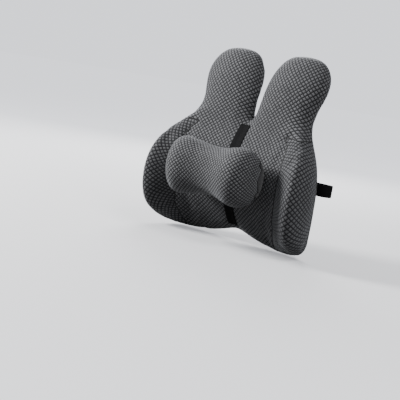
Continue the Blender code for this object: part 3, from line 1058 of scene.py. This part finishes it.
    def straighten(
        self, spots: np.ndarray, places: np.ndarray, panel: Panel
    ) -> np.ndarray:
        """Fits one island to its panel's true size and upright direction.

        Args:
            spots: the island's corners on the flat cloth.
            places: the same corners on the object.
            panel: the panel.

        Returns:
            The corners in lattice cells.
        """
        ones = np.column_stack([spots, np.ones(len(spots))])
        upright = np.linalg.lstsq(ones, places[:, 2], rcond=None)[0][:2]
        turn = atan2(upright[0], upright[1])
        matrix = np.array([[cos(turn), sin(turn)], [-sin(turn), cos(turn)]])
        turned = spots @ matrix
        middle = np.median(turned, axis=0)
        steps_flat = np.linalg.norm(np.diff(turned, axis=0), axis=1)
        steps_real = np.linalg.norm(np.diff(places, axis=0), axis=1)
        usable = (steps_flat > 1e-6) & (steps_real < 0.02) & (steps_real > 1e-5)
        scale = np.median(steps_real[usable] / steps_flat[usable])
        metres = (turned - middle) * scale
        sideways = places[:, 0]
        if panel.cloth is Cloth.DIAMOND_SIDE:
            sideways = -places[:, 1] * np.sign(np.median(places[:, 0]))
        if np.dot(metres[:, 0], sideways - sideways.mean()) < 0:
            metres[:, 0] = -metres[:, 0]
        across = metres[:, 0]
        if panel.cell_across_far:
            round_edge = np.abs(places[:, 0]) + places[:, 1]
            outward = np.sign(np.dot(across, round_edge - round_edge.mean())) or 1.0
            run = across * outward
            run = run - run.min()
            reach = max(run.max(), 1e-6)
            growth = (panel.cell_across_far - panel.cell_across) / reach
            across = np.log1p(growth * run / panel.cell_across) / growth * outward
        else:
            across = across / panel.cell_across
        return np.column_stack([across, metres[:, 1] / panel.cell_along])


def painted_groove_shade(cover: PaddedCover, obj: bpy.types.Object) -> bpy.types.Object:
    """A near-black tube at the bottom of each seam: the sewn line, made darker as painted
    shade of the seam's groove.

    Args:
        cover: the cover's description.
        obj: the finished cover.

    Returns:
        The tubes of painted shade, as one piece.
    """
    mesh = obj.data
    border = cover.border(mesh)
    numbers = sorted({index for edge in border for index in edge})
    renumber = {index: order for order, index in enumerate(numbers)}
    places = positions(mesh)
    normals = vertex_normals(mesh)
    line = bpy.data.meshes.new(cover.name + "_seams")
    points = [places[index] + normals[index] * 0.0005 for index in numbers]
    edges = [(renumber[a], renumber[b]) for a, b in border]
    line.from_pydata(points, edges, [])
    piece = bpy.data.objects.new(cover.name + "_seams", line)
    bpy.context.scene.collection.objects.link(piece)
    activate(piece)
    bpy.ops.object.convert(target="CURVE")
    piece.data.bevel_depth = 0.0010
    piece.data.bevel_resolution = 1
    piece.data.use_fill_caps = True
    bpy.ops.object.convert(target="MESH")
    piece.data.materials.clear()
    return piece


# ------------------------------------------------------------------- cushion
@dataclass
class Cushion:
    """The cupped cushion with its two upright lobes."""

    zip_low: Vector = field(default_factory=lambda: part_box("zip_tape_lower")[0])
    zip_high: Vector = field(default_factory=lambda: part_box("zip_tape_upper")[1])

    def description(self) -> PaddedCover:
        """Returns:
            The description of the cushion's cover.
        """
        sides = [
            Panel((node,), Cloth.DIAMOND_SIDE, KNIT_SIDE_PAINTED_SHADE, SIDE_CELL, CELL, SIDE_CELL_FAR)
            for node in ("side_panel_left", "side_panel_right")
        ]
        backs = ("back_panel_upper", "back_panel_lower")
        return PaddedCover(
            name="cushion_cover",
            foam="foam_core",
            panels=[
                Panel(("front_panel",), Cloth.DIAMOND_FRONT, KNIT_FRONT, CELL, CELL),
                *sides,
                Panel(backs, Cloth.PLAIN_BACK, BACK_CLOTH, CELL, CELL),
            ],
            grow=0.0018,
            cap=0.0026,
            pinned=(Cloth.PLAIN_BACK,),
        )

    def build(self, wardrobe: Wardrobe) -> bpy.types.Object:
        """Args:
            wardrobe: the finishes.

        Returns:
            The cushion's cover.
        """
        plan = self.description()
        cover = plan.build(wardrobe)
        self.open_zip_channel(cover)
        nodes = ("foam_core",) + tuple(node for panel in plan.panels for node in panel.nodes)
        finish_piece(cover, "cushion", nodes)
        # A near-black tube in each seam's groove: painted shade, along the sewn line.
        groove_shade_tubes = painted_groove_shade(plan, cover)
        groove_shade_tubes.data.materials.append(wardrobe.get(SEAM_GROOVE_SHADE))
        finish_piece(groove_shade_tubes, "cushion")
        return cover

    def open_zip_channel(self, cover: bpy.types.Object) -> None:
        """Sinks a narrow channel in the back, where the zip lies.

        Args:
            cover: the cushion's cover.
        """
        low = self.zip_low - Vector((0.004, 0, 0.0012))
        high = self.zip_high + Vector((0.004, 0, 0.0012))
        work = bmesh.new()
        work.from_mesh(cover.data)
        planes = (
            (Vector((0, 0, low.z)), Vector((0, 0, 1))),
            (Vector((0, 0, low.z + 0.0006)), Vector((0, 0, 1))),
            (Vector((0, 0, high.z)), Vector((0, 0, 1))),
            (Vector((0, 0, high.z - 0.0006)), Vector((0, 0, 1))),
            (Vector((low.x, 0, 0)), Vector((1, 0, 0))),
            (Vector((high.x, 0, 0)), Vector((1, 0, 0))),
        )
        for point, normal in planes:
            faces = [
                face
                for face in work.faces
                if face.calc_center_median().y > -0.002
                and low.z - 0.012 < face.calc_center_median().z < high.z + 0.012
                and abs(face.calc_center_median().x) < high.x + 0.012
            ]
            edges = {edge for face in faces for edge in face.edges}
            verts = {vert for face in faces for vert in face.verts}
            geometry = list(verts) + list(edges) + faces
            bmesh.ops.bisect_plane(work, geom=geometry, plane_co=point, plane_no=normal)
        margin = 0.00005
        for vert in work.verts:
            inside_z = low.z + 0.0006 - margin < vert.co.z < high.z - 0.0006 + margin
            inside_x = low.x - margin < vert.co.x < high.x + margin
            if inside_z and inside_x and vert.co.y > -0.004:
                vert.co.y = -0.0024
        work.to_mesh(cover.data)
        work.free()


# -------------------------------------------------------------------- pillow
@dataclass
class Pillow:
    """The bone-shaped lumbar pillow."""

    def build(self, wardrobe: Wardrobe) -> bpy.types.Object:
        """Args:
            wardrobe: the finishes.

        Returns:
            The pillow's cover.
        """
        front, back = ("pillow_cover_front",), ("pillow_cover_back",)
        plan = PaddedCover(
            name="pillow_cover",
            foam="pillow_foam",
            panels=[
                Panel(front, Cloth.DIAMOND_FRONT, KNIT_PILLOW_PAINTED_LIGHT, PILLOW_CELL, PILLOW_CELL),
                Panel(back, Cloth.PLAIN_BACK, BACK_CLOTH, CELL, CELL),
            ],
            grow=0.0019,
            cap=0.003,
            pinned=(),
            groove=0.0012,
        )
        cover = plan.build(wardrobe)
        nodes = ("pillow_foam",) + front + back
        finish_piece(cover, "pillow", nodes)
        # A near-black tube in each seam's groove: painted shade, along the sewn line.
        groove_shade_tubes = painted_groove_shade(plan, cover)
        groove_shade_tubes.data.materials.append(wardrobe.get(SEAM_GROOVE_SHADE))
        finish_piece(groove_shade_tubes, "pillow")
        return cover


# -------------------------------------------------------------------- straps
def ribbon(
    name: str, rows: list[tuple[Vector, Vector]], columns: int, thickness: float
) -> bpy.types.Object:
    """A strap: a grid laid over rows of edge points, then thickened.

    Args:
        name: the piece's name.
        rows: the two edges of the strap at each step along it.
        columns: the number of points across.
        thickness: the strap's thickness.

    Returns:
        The strap, with a UV map in metres.
    """
    deselect()
    count = len(rows)
    bpy.ops.mesh.primitive_grid_add(
        x_subdivisions=columns - 1, y_subdivisions=count - 1, size=1.0, location=(0, 0, 0)
    )
    piece = bpy.context.object
    piece.name = name
    piece.data.name = name
    mesh = piece.data
    layer = mesh.uv_layers.active
    layer.name = "UVMap"
    along = [0.0]
    for before, after in zip(rows, rows[1:]):
        step = ((after[0] + after[1]) - (before[0] + before[1])).length / 2
        along.append(along[-1] + step)
    width = (rows[0][1] - rows[0][0]).length
    grid: dict[int, tuple[int, int]] = {}
    for vertex in mesh.vertices:
        column = round((vertex.co.x + 0.5) * (columns - 1))
        row = round((vertex.co.y + 0.5) * (count - 1))
        grid[vertex.index] = (column, row)
    for loop in mesh.loops:
        column, row = grid[loop.vertex_index]
        layer.data[loop.index].uv = (width * column / (columns - 1), along[row])
    for vertex in mesh.vertices:
        column, row = grid[vertex.index]
        first, second = rows[row]
        vertex.co = first.lerp(second, column / (columns - 1))
    mesh.update()
    apply_modifier(piece, "SOLIDIFY", thickness=thickness, offset=0.0)
    apply_modifier(
        piece, "BEVEL", width=thickness * 0.3, segments=2, limit_method="ANGLE",
        angle_limit=radians(60),
    )
    activate(piece)
    bpy.ops.object.mode_set(mode="EDIT")
    bpy.ops.mesh.select_all(action="SELECT")
    bpy.ops.mesh.normals_make_consistent(inside=False)
    bpy.ops.object.mode_set(mode="OBJECT")
    smooth_by_angle(piece, 50)
    return piece


@dataclass
class SpineStrap:
    """The webbing down the middle of the cushion, which carries the pillow."""

    bottom: float = field(default_factory=lambda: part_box("spine_strap")[0].z)
    top: float = field(default_factory=lambda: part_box("spine_strap")[1].z)
    half: float = field(default_factory=lambda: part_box("spine_strap")[1].x)
    taut_at: float = field(default_factory=lambda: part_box("spine_strap")[0].y + 0.0013)
    middle: float = field(
        default_factory=lambda: sum(corner.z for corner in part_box("pillow_sleeve")) / 2
    )
    taut_half: float = 0.035
    thickness: float = 0.0014

    def build(self, wardrobe: Wardrobe, cover: bpy.types.Object) -> None:
        """Args:
            wardrobe: the finishes.
            cover: the cushion's cover, which the strap lies on.
        """
        surface = tree_of(cover.data)
        count = 110
        rise = self.top - self.bottom
        heights = [self.bottom + rise * i / (count - 1) for i in range(count)]
        columns = 9
        depth = np.zeros((count, columns))
        for row, z in enumerate(heights):
            for column in range(columns):
                x = self.half * (2 * column / (columns - 1) - 1)
                hit = surface.ray_cast(Vector((x, -0.4, z)), Vector((0, 1, 0)))[0]
                depth[row, column] = hit.y if hit else depth[max(row - 1, 0), column]
        bridge = np.array(
            [self.taut_at + max(0.0, abs(z - self.middle) - self.taut_half) for z in heights]
        )
        flat = depth.min(axis=1, keepdims=True)
        depth = depth * 0.55 + flat * 0.45 - self.thickness * 0.75
        depth = np.minimum(depth, bridge[:, None])
        piece = ribbon(
            "centre_strap",
            [(Vector((-self.half, 0, z)), Vector((self.half, 0, z))) for z in heights],
            columns,
            self.thickness,
        )
        mesh = piece.data
        for vertex in mesh.vertices:
            row = (vertex.co.z - self.bottom) / (self.top - self.bottom) * (count - 1)
            row = min(max(row, 0.0), count - 1.001)
            column = (vertex.co.x / self.half + 1) / 2 * (columns - 1)
            column = min(max(column, 0.0), columns - 1.001)
            r, c = int(row), int(column)
            fr, fc = row - r, column - c
            near = depth[r, c] * (1 - fc) + depth[r, c + 1] * fc
            far = depth[r + 1, c] * (1 - fc) + depth[r + 1, c + 1] * fc
            vertex.co.y += near * (1 - fr) + far * fr
        mesh.update()
        mesh.materials.append(wardrobe.get(STRAP))
        finish_piece(piece, "cushion", ("spine_strap",))


@dataclass
class ChairStraps:
    """The two webbings round the chair's back, and the free end on the plug."""

    thickness: float = 0.0013
    low: float = field(default_factory=lambda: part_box("chair_strap_right")[0].z)
    high: float = field(default_factory=lambda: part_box("chair_strap_right")[1].z)

    def sizes(self) -> tuple[float, float, float, float]:
        """Returns the webbing's front and main depth, turn radius and turn centre."""
        near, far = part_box("chair_strap_right")
        front = near.y + self.thickness / 2
        main = far.y - self.thickness / 2
        radius = (main - front) / 2
        return front, main, radius, far.x - self.thickness / 2 - radius

    def rows(self, path: list[tuple[float, float]]) -> list[tuple[Vector, Vector]]:
        """Args:
            path: the strap's plan, as x and y.

        Returns:
            The strap's lower and upper edge at each step.
        """
        rows = []
        for (x0, y0), (x1, y1) in zip(path, path[1:]):
            steps = max(1, int(Vector((x1 - x0, y1 - y0)).length / 0.004))
            for step in range(steps):
                share = step / steps
                rows.append((x0 + (x1 - x0) * share, y0 + (y1 - y0) * share))
        rows.append(path[-1])
        return [(Vector((x, y, self.low)), Vector((x, y, self.high))) for x, y in rows]

    def build(self, wardrobe: Wardrobe) -> None:
        """Args:
            wardrobe: the finishes.
        """
        front, main, radius, turn = self.sizes()
        round_chair = [
            (turn + radius * sin(pi * i / 14), front + radius * (1 - cos(pi * i / 14)))
            for i in range(15)
        ]
        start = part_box("chair_strap_right")[0].x
        right = [(0.112, front)] + round_chair + [(start, main)]
        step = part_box("strap_tail")[1].y - self.thickness / 2 - main
        left_bar = -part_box("chair_strap_left")[1].x + self.thickness / 2 + step / 2
        left_end = 0.060
        left = [(0.112, front)] + round_chair + self.fold(left_bar, main, step)
        left.append((left_end, main + step))
        left = [(-x, y) for x, y in left]
        tail_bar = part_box("strap_tail")[0].x + self.thickness / 2 + step / 2
        tail = [(0.033, main)] + self.fold(tail_bar, main, step)
        tail.append((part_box("strap_tail")[1].x, main + step))
        for name, path, body in (
            ("chair_strap_right", right, "cushion"),
            ("chair_strap_left", left, "cushion"),
            ("strap_tail", tail, "plug"),
        ):
            piece = ribbon(name + "_webbing", self.rows(path), 9, self.thickness)
            piece.data.materials.append(wardrobe.get(STRAP))
            finish_piece(piece, body, (name,))

    def fold(self, bar: float, main: float, step: float) -> list[tuple[float, float]]:
        """Args:
            bar: the middle of the buckle's bar.
            main: the main layer's depth.
            step: from the main layer to the outer one.

        Returns:
            The plan of the turn round the bar.
        """
        radius = step / 2
        return [
            (bar - radius * sin(pi * i / 8), main + radius * (1 - cos(pi * i / 8)))
            for i in range(9)
        ]


# ------------------------------------------------------- small sewn pieces
def stitch_row(
    name: str, path: list[Vector], outward: Vector, pitch: float = 0.0034
) -> bpy.types.Object:
    """A row of raised stitches along a path of straight runs.

    Args:
        name: the row's name.
        path: the corners of the row.
        outward: away from the cloth.
        pitch: from one stitch to the next.

    Returns:
        The stitches, as one piece.
    """
    points: list[Vector] = []
    faces: list[tuple[int, ...]] = []
    sides = 6
    rings = ((-0.40, 0.3, -0.7), (-0.22, 1.0, 0.2), (0.22, 1.0, 0.2), (0.40, 0.3, -0.7))
    radius = 0.00032
    for start, end in zip(path, path[1:]):
        run = end - start
        count = max(1, round(run.length / pitch))
        ahead = run.normalized()
        aside = outward.cross(ahead).normalized()
        for index in range(count):
            centre = start + run * ((index + 0.5) / count)
            first = len(points)
            for share, wide, lift in rings:
                middle = centre + ahead * (share * pitch) + outward * (lift * radius)
                for side in range(sides):
                    turn = 2 * pi * side / sides
                    spread = aside * cos(turn) + outward * sin(turn)
                    points.append(middle + spread * (radius * wide))
            for ring in range(len(rings) - 1):
                for side in range(sides):
                    a = first + ring * sides + side
                    b = first + ring * sides + (side + 1) % sides
                    faces.append((a, b, b + sides, a + sides))
            last = first + (len(rings) - 1) * sides
            faces.append(tuple(first + side for side in reversed(range(sides))))
            faces.append(tuple(last + side for side in range(sides)))
    mesh = bpy.data.meshes.new(name)
    mesh.from_pydata(points, [], faces)
    piece = bpy.data.objects.new(name, mesh)
    bpy.context.scene.collection.objects.link(piece)
    smooth_by_angle(piece, 60)
    return piece


@dataclass
class SewnPieces:
    """Patches, sleeve, keeper and zip tapes, softened and stitched."""

    cell: float = 0.0024
    ripple: float = 0.00012

    def build(self, wardrobe: Wardrobe) -> None:
        """Args:
            wardrobe: the finishes.
        """
        for node, body, finish in (
            ("anchor_patch_left", "cushion", STRAP),
            ("anchor_patch_right", "cushion", STRAP),
            ("zip_tape_upper", "cushion", ELASTIC),
            ("zip_tape_lower", "cushion", ELASTIC),
            ("pillow_sleeve", "pillow", ELASTIC),
            ("strap_keeper", "keeper", ELASTIC),
        ):
            piece = self.soften(node)
            piece.data.materials.append(wardrobe.get(finish))
            finish_piece(piece, body, (node,))
        for node in ("anchor_patch_left", "anchor_patch_right"):
            self.stitch(wardrobe, node, self.crossed(node, 0.0028))
        for node in ("zip_tape_upper", "zip_tape_lower"):
            low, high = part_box(node)
            outer = low.z + 0.0022 if node == "zip_tape_lower" else high.z - 0.0022
            face = high.y + 0.0001
            row = [Vector((low.x + 0.002, face, outer)), Vector((high.x - 0.002, face, outer))]
            self.stitch(wardrobe, node, row)

    def soften(self, node: str) -> bpy.types.Object:
        """Args:
            node: the CAD node the piece stands for.

        Returns:
            The piece with rounded edges, a slight ripple and a UV map in metres.
        """
        piece = copy_node(node, node + "_cloth")
        apply_modifier(
            piece, "BEVEL", width=0.00025, segments=2, limit_method="ANGLE",
            angle_limit=radians(50),
        )
        mesh = piece.data
        work = bmesh.new()
        work.from_mesh(mesh)
        for _ in range(7):
            wide = [edge for edge in work.edges if edge.calc_length() > self.cell]
            if not wide:
                break
            bmesh.ops.subdivide_edges(work, edges=wide, cuts=1, use_grid_fill=True)
            bmesh.ops.triangulate(work, faces=work.faces[:])
        work.to_mesh(mesh)
        work.free()
        places = positions(mesh)
        waves = np.array([noise.noise(Vector(place) * 160.0) for place in places])
        set_positions(mesh, places + vertex_normals(mesh) * (waves * self.ripple)[:, None])
        while mesh.uv_layers:
            mesh.uv_layers.remove(mesh.uv_layers[0])
        layer = mesh.uv_layers.new(name="UVMap")
        for face in mesh.polygons:
            x, y, z = (abs(part) for part in face.normal)
            for loop in face.loop_indices:
                spot = mesh.vertices[mesh.loops[loop].vertex_index].co
                if y >= x and y >= z:
                    layer.data[loop].uv = (spot.z, spot.x)
                elif z >= x:
                    layer.data[loop].uv = (spot.y, spot.x)
                else:
                    layer.data[loop].uv = (spot.z, spot.y)
        smooth_by_angle(piece, 50)
        return piece

    def crossed(self, node: str, inset: float) -> list[Vector]:
        """Args:
            node: a flat node that faces backwards.
            inset: from its edges to the stitches.

        Returns:
            The path of a rectangle with a cross in it, on the node's outer face.
        """
        low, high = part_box(node)
        face = high.y + 0.0001
        left, right = low.x + inset, high.x - inset
        bottom, top = low.z + inset, high.z - inset
        turns = (
            (left, bottom), (right, bottom), (right, top), (left, top),
            (left, bottom), (right, top), (left, top), (right, bottom),
        )
        return [Vector((x, face, z)) for x, z in turns]

    def stitch(self, wardrobe: Wardrobe, node: str, path: list[Vector]) -> None:
        """Args:
            wardrobe: the finishes.
            node: the node the stitches are on.
            path: the corners of the row.
        """
        row = stitch_row(node + "_stitches", path, Vector((0, 1, 0)))
        row.data.materials.append(wardrobe.get(THREAD))
        finish_piece(row, "cushion")


# -------------------------------------------------------------------- stage
@dataclass
class Studio:
    """Floor, lights and camera."""

    right: Vector = field(default_factory=lambda: Vector((0.766, 0.621, 0.166)).normalized())
    toward: Vector = field(default_factory=lambda: Vector((0.608, -0.784, 0.127)).normalized())
    aim: Vector = field(default_factory=lambda: Vector((0.0, -0.04, 0.02)))

    def build(self) -> None:
        """Puts up the floor, the lights and the camera."""
        self.floor()
        self.lights()
        self.camera()

    def floor(self) -> None:
        """A flat pale floor whose glow, seen by the camera only, hides the horizon."""
        deselect()
        level = CAD_BOX[0].z - FLOOR_DROP
        bpy.ops.mesh.primitive_plane_add(size=60.0, location=(0, 0, level))
        ground = bpy.context.object
        ground.name = "studio_floor"
        bpy.ops.object.transform_apply(location=True, rotation=True, scale=True)
        made = bpy.data.materials.new("pale floor")
        made.use_nodes = True
        shader = made.node_tree.nodes["Principled BSDF"]
        desk = NodeDesk(made.node_tree)
        seen = desk.add("ShaderNodeLightPath").outputs["Is Camera Ray"]
        colour = desk.blend(seen, FLOOR_ON_OBJECT, FLOOR_SEEN)
        desk.feed(shader.inputs["Base Color"], colour)
        shader.inputs["Roughness"].default_value = 0.9
        shader.inputs["Emission Color"].default_value = SKY
        away = desk.add("ShaderNodeVectorMath", operation="LENGTH")
        desk.feed(away.inputs[0], desk.add("ShaderNodeTexCoord").outputs["Object"])
        far = desk.ramp(away.outputs["Value"], 0.4, 3.2)
        glow = desk.math("MULTIPLY_ADD", far, 0.9, 0.4)
        desk.feed(shader.inputs["Emission Strength"], desk.math("MULTIPLY", seen, glow))
        ground.data.materials.append(made)

    def lights(self) -> None:
        """A soft key from the left, a fill from the upper right, a rim from behind left."""
        world = bpy.context.scene.world or bpy.data.worlds.new("studio")
        bpy.context.scene.world = world
        world.use_nodes = True
        back = world.node_tree.nodes["Background"]
        back.inputs["Color"].default_value = SKY
        desk = NodeDesk(world.node_tree)
        seen = desk.add("ShaderNodeLightPath").outputs["Is Camera Ray"]
        strength = desk.math("MULTIPLY_ADD", seen, SKY_EXTRA_SEEN, SKY_ON_OBJECT)
        desk.feed(back.inputs["Strength"], strength)
        for name, place, size, power in (
            ("key", Vector((-1.9, -1.4, 1.3)), 0.8, 118.0),
            ("fill", Vector((1.8, -0.6, 2.2)), 1.2, 37.0),
            ("rim", Vector((-1.2, 1.5, 1.2)), 1.0, 42.0),
        ):
            data = bpy.data.lights.new(name, "AREA")
            data.size = size
            data.energy = power
            lamp = bpy.data.objects.new(name, data)
            lamp.location = place
            aim = (Vector((0, -0.05, 0.03)) - place).to_track_quat("-Z", "Y")
            lamp.rotation_euler = aim.to_euler()
            bpy.context.scene.collection.objects.link(lamp)

    def camera(self) -> None:
        """A long lens at the sitter's right, a little above the cushion."""
        up = self.toward.cross(self.right).normalized()
        across = up.cross(self.toward).normalized()
        data = bpy.data.cameras.new("camera")
        data.lens = 85.5
        data.sensor_width = 36.0
        data.clip_end = 50.0
        eye = bpy.data.objects.new("camera", data)
        place = self.aim + self.toward * 2.043 - across * 0.0946 - up * 0.0933
        turn = Matrix((across, up, self.toward)).transposed().to_4x4()
        eye.matrix_world = Matrix.Translation(place) @ turn
        bpy.context.scene.collection.objects.link(eye)
        bpy.context.scene.camera = eye


# --------------------------------------------------------------------- main
def dress_node(node: str, material: bpy.types.Material) -> None:
    """Gives a CAD node a finish.

    Args:
        node: its name.
        material: the finish.
    """
    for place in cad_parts[node].material_slots:
        place.material = material
    LOG.info("%s keeps its shape and gets %s", node, material.name)


def main() -> None:
    """Builds the classes in order."""
    logging.basicConfig(level=logging.INFO, format="%(name)s: %(message)s")
    deselect()
    wardrobe = Wardrobe()
    studio = Studio()
    studio.build()
    cover = Cushion().build(wardrobe)
    Pillow().build(wardrobe)
    SpineStrap().build(wardrobe, cover)
    ChairStraps().build(wardrobe)
    SewnPieces().build(wardrobe)
    for node in ("buckle_socket", "buckle_plug", "buckle_prong_upper", "buckle_prong_lower"):
        dress_node(node, wardrobe.get(PLASTIC))
    dress_node("strap_adjuster", wardrobe.get(PLASTIC))
    for node in ("zip_slider", "zip_pull", "zip_stop_left", "zip_stop_right"):
        dress_node(node, wardrobe.get(METAL))
    dress_node("zip_teeth", wardrobe.get(PLASTIC))
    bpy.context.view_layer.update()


if __name__ == "__main__":
    main()
